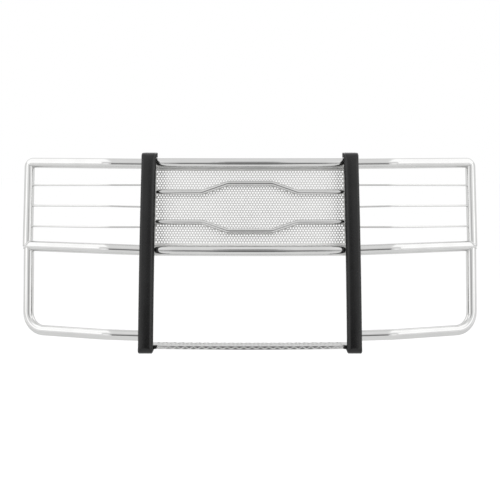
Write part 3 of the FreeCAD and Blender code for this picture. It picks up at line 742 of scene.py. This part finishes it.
def join_pieces(name, parts):
    """Join several objects into one."""
    bpy.ops.object.select_all(action="DESELECT")
    for part in parts:
        part.select_set(True)
    bpy.context.view_layer.objects.active = parts[0]
    bpy.ops.object.join()
    parts[0].name = name
    parts[0].data.name = name
    return parts[0]


def weld(name, nodes, others, gap, material):
    """One piece with a bead round the end of each node that meets other nodes."""
    beads = []
    for node in nodes:
        line = contact_line(node, others, gap)
        size = ROD_BEAD_SIZE if node.startswith("wing_rod") else BEAD_SIZE
        if line:
            beads.append(make_bead(line, size, material))
    if beads:
        add_piece(join_pieces(name, beads), "polished_tube")


def make_welds(material):
    """Beads where tubes, bars and rods meet the uprights, the mid tubes and the end posts."""
    centre = ["centre_top_tube", "centre_lower_tube", "upper_bent_bar", "lower_bent_bar"]
    for side in ("right", "left"):
        upright = "upright_" + side
        mid_tube = "wing_mid_tube_" + side
        mid_cap = "wing_mid_cap_" + side
        lower_loop = "wing_lower_loop_" + side
        end_post = "wing_end_post_" + side
        rods = ["wing_rod_" + place + "_" + side for place in ("upper", "middle", "lower")]
        tubes = ["wing_top_tube_" + side, mid_tube, lower_loop]
        weld("weld_beads_inner_" + side, centre, [upright], PLATE_GAP, material)
        weld("weld_beads_outer_" + side, tubes + rods, [upright], PLATE_GAP, material)
        weld("weld_beads_rods_" + side, rods, [end_post], CONTACT_GAP, material)
        weld("weld_beads_posts_" + side, [end_post, lower_loop], [mid_tube, mid_cap], CONTACT_GAP, material)


# Light, floor and camera --------------------------------------------------------------------------

def light_world():
    """Even white studio light from all round."""
    world = bpy.data.worlds.new("studio")
    bpy.context.scene.world = world
    world.use_nodes = True
    back = world.node_tree.nodes["Background"]
    back.inputs["Color"].default_value = WHITE
    back.inputs["Strength"].default_value = WORLD_GLOW


def place_camera():
    """The camera in front of the guard."""
    data = bpy.data.cameras.new("camera")
    data.sensor_width = CAMERA_SENSOR
    data.lens = CAMERA_LENS
    data.shift_y = CAMERA_SHIFT
    camera = bpy.data.objects.new("camera", data)
    camera.location = CAMERA_PLACE
    camera.rotation_euler = (math.pi / 2 - CAMERA_PITCH, 0, 0)
    bpy.context.collection.objects.link(camera)
    bpy.context.scene.camera = camera


def soft_mask(tree, axis, half, fade):
    """1 inside a card and 0 at its edge, along one axis of the card."""
    place = add_node(tree, "ShaderNodeTexCoord")
    split = add_node(tree, "ShaderNodeSeparateXYZ")
    distance = add_node(tree, "ShaderNodeMath", operation="ABSOLUTE")
    tree.links.new(place.outputs["Object"], split.inputs["Vector"])
    tree.links.new(split.outputs[axis], distance.inputs[0])
    mask = add_node(tree, "ShaderNodeMapRange", interpolation_type="SMOOTHSTEP")
    mask.inputs["From Min"].default_value = half
    mask.inputs["From Max"].default_value = half - fade
    tree.links.new(distance.outputs[0], mask.inputs["Value"])
    return mask.outputs["Result"]


def make_flat(name, half_x, half_y, material):
    """A flat rectangle round its own origin."""
    vertices = [(-half_x, -half_y, 0), (half_x, -half_y, 0), (half_x, half_y, 0), (-half_x, half_y, 0)]
    return make_object(name, vertices, [(0, 1, 2, 3)], material)


def make_card(name, centre, size, fade, strength, lying):
    """A flat studio card with soft edges, upright or lying; only reflections and soft light show it."""
    half_x, half_y = size[0] / 2, size[1] / 2
    material, tree, _ = new_material(name)
    glow = add_node(tree, "ShaderNodeEmission", Strength=strength)
    clear = add_node(tree, "ShaderNodeBsdfTransparent")
    both = add_node(tree, "ShaderNodeMath", operation="MULTIPLY")
    tree.links.new(soft_mask(tree, "X", half_x, fade[0]), both.inputs[0])
    tree.links.new(soft_mask(tree, "Y", half_y, fade[1]), both.inputs[1])
    mix = add_node(tree, "ShaderNodeMixShader")
    tree.links.new(both.outputs[0], mix.inputs["Fac"])
    tree.links.new(clear.outputs["BSDF"], mix.inputs[1])
    tree.links.new(glow.outputs["Emission"], mix.inputs[2])
    tree.links.new(mix.outputs["Shader"], tree.nodes["Material Output"].inputs["Surface"])
    card = make_flat(name, half_x, half_y, material)
    card.location = centre
    if not lying:
        card.rotation_euler = (math.pi / 2, 0, math.atan2(centre[0], -centre[1]))
    card.visible_camera = False
    card.visible_shadow = False


def make_floor():
    """Plain white floor, well below the guard, which is held up by its brackets."""
    material, _, shader = new_material("floor")
    shader.inputs["Base Color"].default_value = FLOOR_COLOUR
    shader.inputs["Roughness"].default_value = FLOOR_ROUGHNESS
    shader.inputs["Emission Color"].default_value = WHITE
    shader.inputs["Emission Strength"].default_value = FLOOR_GLOW
    floor = make_flat("floor", FLOOR_REACH, FLOOR_REACH, material)
    floor.location.z = FLOOR_HEIGHT


def light_studio():
    """World light, the floor, the dim end of the room and bright boxes on both sides."""
    light_world()
    make_floor()
    for card in DARK_CARDS:
        make_card(*card)
    for side, sign in (("left", -1), ("right", 1)):
        for name, (x, y, z), *rest in SIDE_CARDS:
            make_card(name + "_" + side, (sign * x, y, z), *rest)


def dress(node, material):
    """Give a CAD node a material."""
    shown = frame["nodes"][node]
    if not shown.material_slots:
        shown.data.materials.append(material)
    for slot in shown.material_slots:
        slot.material = material


def make_materials():
    """The material for each of the record's slots, and the dull sides of the pads."""
    return {
        "polished_tube": polished_steel("polished_tube"),
        # Plates: a rougher copy of the polished steel with a lighter tint. The lighter tint is painted
        # light that makes up for the shade where the strips sit under the top tube.
        "polished_plate": polished_steel("polished_plate", tint=(0.86, 0.86, 0.85), roughness=(0.50, 0.60)),
        "punched_sheet": polished_steel("punched_sheet", tint=(0.69, 0.69, 0.68), roughness=(0.34, 0.44)),
        "tread_plate": polished_steel("tread_plate"),
        "rubber_pad": moulded_rubber("rubber_pad"),
        "rubber_side": moulded_rubber("rubber_side", RUBBER_SIDE_GLOSS, RUBBER_SIDE_DULLNESS),
        "black_bracket": powder_coat("black_bracket"),
        "zinc_fastener": zinc_plate("zinc_fastener"),
    }


bpy.context.scene.view_settings.view_transform = "Standard"
light_studio()
place_camera()
materials = make_materials()
for part in frame["record"]["subparts"]:
    dress(part["node"], materials[part["material_slot"]])
make_punched_sheet(materials["punched_sheet"])
make_step(materials["tread_plate"])
for side in ("right", "left"):
    make_pad(side, materials["rubber_pad"], materials["rubber_side"])
make_welds(materials["polished_tube"])
